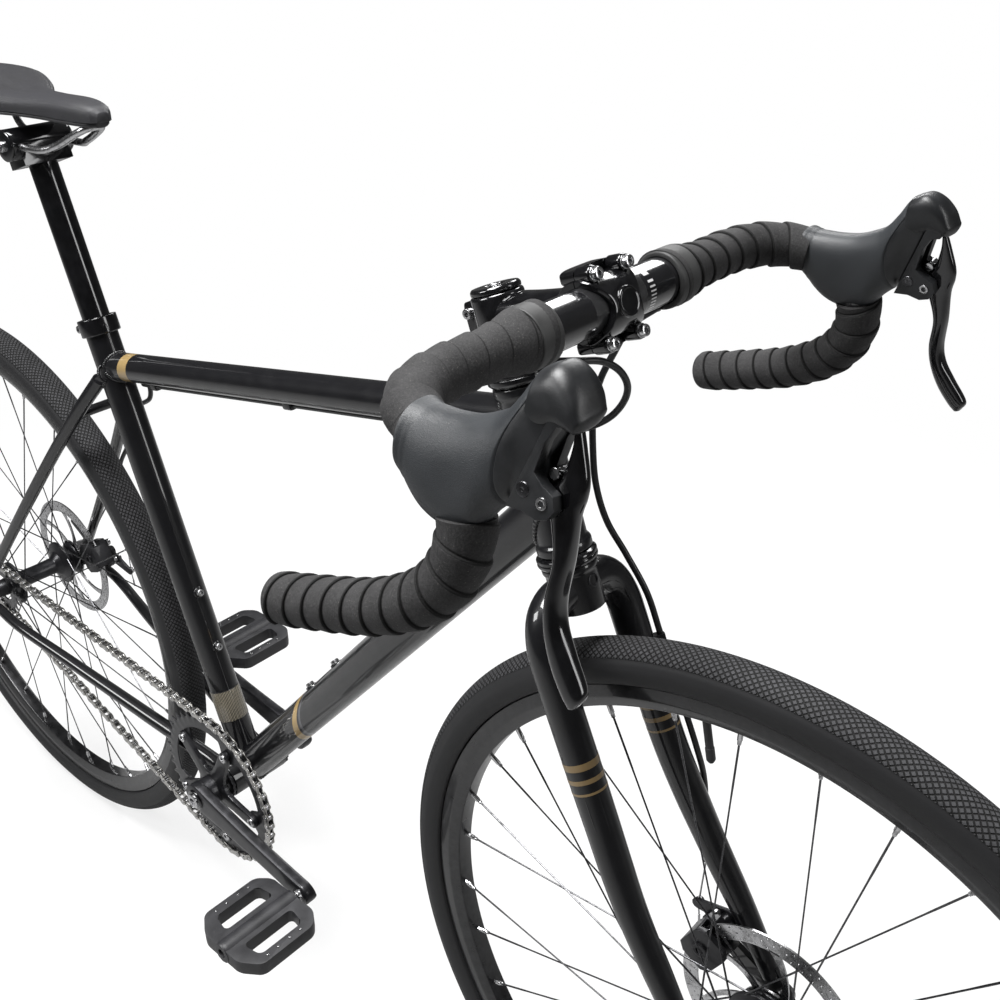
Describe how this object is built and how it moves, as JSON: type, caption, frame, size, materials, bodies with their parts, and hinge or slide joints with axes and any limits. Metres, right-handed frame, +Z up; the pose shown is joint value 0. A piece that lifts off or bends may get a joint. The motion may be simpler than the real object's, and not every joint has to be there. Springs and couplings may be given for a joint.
{
  "type": "road bicycle",
  "caption": "Single-speed road bicycle: steel diamond frame, drop bar with wound tape and hooded levers, cable disc brakes, spoked wheels, chain drive, platform pedals and saddle.",
  "frame": {"origin": "on the ground under the middle of the bicycle, halfway between the outermost points of the two tyres", "axes": "+X ahead, +Y to the rider's left, +Z up"},
  "size_m": [1.7586, 0.4806, 0.9856],
  "materials": {
    "paint": "gloss",
    "gloss_black": "gloss black anodised",
    "black_alloy": "satin black",
    "steel": "bright",
    "tyre": "matt",
    "hood_rubber": "matt",
    "foam_tape": "matt foam",
    "black_plastic": "satin",
    "saddle_cover": "satin",
    "housing": "satin"
  },
  "bodies": {
    "frame": {"head_tube": "paint", "top_tube": "paint", "down_tube": "paint", "seat_tube": "paint", "bottom_bracket_shell": "paint", "chain_stay_left": "paint", "chain_stay_right": "paint", "seat_stay_left": "paint", "seat_stay_right": "paint", "seat_collar": "gloss_black", "headset_lower_cup": "gloss_black", "headset_upper_cup": "gloss_black", "bottom_bracket": "black_alloy", "rear_axle": "steel", "rear_caliper": "black_alloy", "rear_brake_housing": "housing", "chain": "steel"},
    "saddle": {"seatpost": "gloss_black", "saddle_rails_and_base": "black_plastic", "saddle_cushion": "saddle_cover"},
    "steering": {"fork": "paint", "headset_cover_and_spacers": "gloss_black", "stem": "gloss_black", "stem_faceplate": "gloss_black", "stem_top_cap": "gloss_black", "handlebar": "gloss_black", "bar_tape_top_left": "foam_tape", "bar_tape_top_right": "foam_tape", "bar_tape_drop_left": "foam_tape", "bar_tape_drop_right": "foam_tape", "hood_left": "hood_rubber", "hood_right": "hood_rubber", "lever_body_left": "black_plastic", "lever_body_right": "black_plastic", "front_brake_housing": "housing", "rear_brake_housing_loop": "housing", "front_caliper": "black_alloy", "front_axle": "steel"},
    "lever_left": {"brake_lever_left": "gloss_black"},
    "lever_right": {"brake_lever_right": "gloss_black"},
    "front_arm": {"front_caliper_arm": "black_alloy"},
    "rear_arm": {"rear_caliper_arm": "black_alloy"},
    "front_pad": {"front_sliding_pad": "black_alloy"},
    "rear_pad": {"rear_sliding_pad": "black_alloy"},
    "front_wheel": {"front_tyre": "tyre", "front_rim": "black_alloy", "front_hub_and_spokes": "black_alloy", "front_brake_disc": "steel"},
    "rear_wheel": {"rear_tyre": "tyre", "rear_rim": "black_alloy", "rear_hub_and_spokes": "black_alloy", "rear_brake_disc": "steel"},
    "crankset": {"chainring": "black_alloy", "crank_right_and_spider": "black_alloy", "crank_left_and_spindle": "black_alloy"},
    "freewheel": {"freewheel_cog": "steel"},
    "pedal_left_body": {"pedal_left": "black_plastic"},
    "pedal_right_body": {"pedal_right": "black_plastic"}
  },
  "joints": [
    {"name": "steering", "type": "hinge", "parent": "frame", "child": "steering", "pos_m": [0.35299, 0, 0.71179], "axis": [-0.3266, 0, 0.9452], "range_deg": [-65, 65], "deforming": ["rear_brake_housing_loop"]},
    {"name": "seatpost_height", "type": "slide", "parent": "frame", "child": "saddle", "axis": [-0.3002, 0, 0.9539], "range_m": [-0.1, 0.07]},
    {"name": "lever_left", "type": "hinge", "parent": "steering", "child": "lever_left", "pos_m": [0.50336, 0.20019, 0.9012], "axis": [0, 0.9806, 0.1961], "range_deg": [0, 22], "stiffness_Nm_per_rad": 0.8, "springref_deg": -14.32},
    {"name": "lever_right", "type": "hinge", "parent": "steering", "child": "lever_right", "pos_m": [0.50336, -0.20019, 0.9012], "axis": [0, 0.9806, -0.1961], "range_deg": [0, 22], "stiffness_Nm_per_rad": 0.8, "springref_deg": -14.32},
    {"name": "front_arm", "type": "hinge", "parent": "steering", "child": "front_arm", "pos_m": [0.47702, 0.0587, 0.39469], "axis": [0, 1, 0], "range_deg": [0, 15]},
    {"name": "rear_arm", "type": "hinge", "parent": "frame", "child": "rear_arm", "pos_m": [-0.46087, 0.0762, 0.36158], "axis": [0, -1, 0], "range_deg": [0, 15]},
    {"name": "front_pad", "type": "slide", "parent": "steering", "child": "front_pad", "axis": [0, -1, 0], "range_m": [0, 0.0004]},
    {"name": "rear_pad", "type": "slide", "parent": "frame", "child": "rear_pad", "axis": [0, -1, 0], "range_m": [0, 0.0004]},
    {"name": "front_wheel", "type": "hinge", "parent": "steering", "child": "front_wheel", "pos_m": [0.53175, 0, 0.3475], "axis": [0, 1, 0], "continuous": true},
    {"name": "rear_wheel", "type": "hinge", "parent": "frame", "child": "rear_wheel", "pos_m": [-0.53175, 0, 0.3475], "axis": [0, 1, 0], "continuous": true},
    {"name": "crank", "type": "hinge", "parent": "frame", "child": "crankset", "pos_m": [-0.09785, 0, 0.2695], "axis": [0, 1, 0], "continuous": true, "deforming": ["chain"]},
    {"name": "freewheel", "type": "hinge", "parent": "frame", "child": "freewheel", "pos_m": [-0.53175, -0.045, 0.3475], "axis": [0, 1, 0], "continuous": true},
    {"name": "pedal_left", "type": "hinge", "parent": "crankset", "child": "pedal_left_body", "pos_m": [-0.26575, 0.1251, 0.29609], "axis": [0, 1, 0], "continuous": true},
    {"name": "pedal_right", "type": "hinge", "parent": "crankset", "child": "pedal_right_body", "pos_m": [0.07006, -0.1251, 0.24291], "axis": [0, 1, 0], "continuous": true}
  ],
  "couplings": [
    {"joint": "freewheel", "follows": "crank", "ratio": 2.75},
    {"joint": "front_arm", "follows": "lever_left", "ratio": 0.6813},
    {"joint": "front_pad", "follows": "lever_left", "m_per_rad": 0.0010412},
    {"joint": "rear_arm", "follows": "lever_right", "ratio": 0.6813},
    {"joint": "rear_pad", "follows": "lever_right", "m_per_rad": 0.0010412}
  ]
}
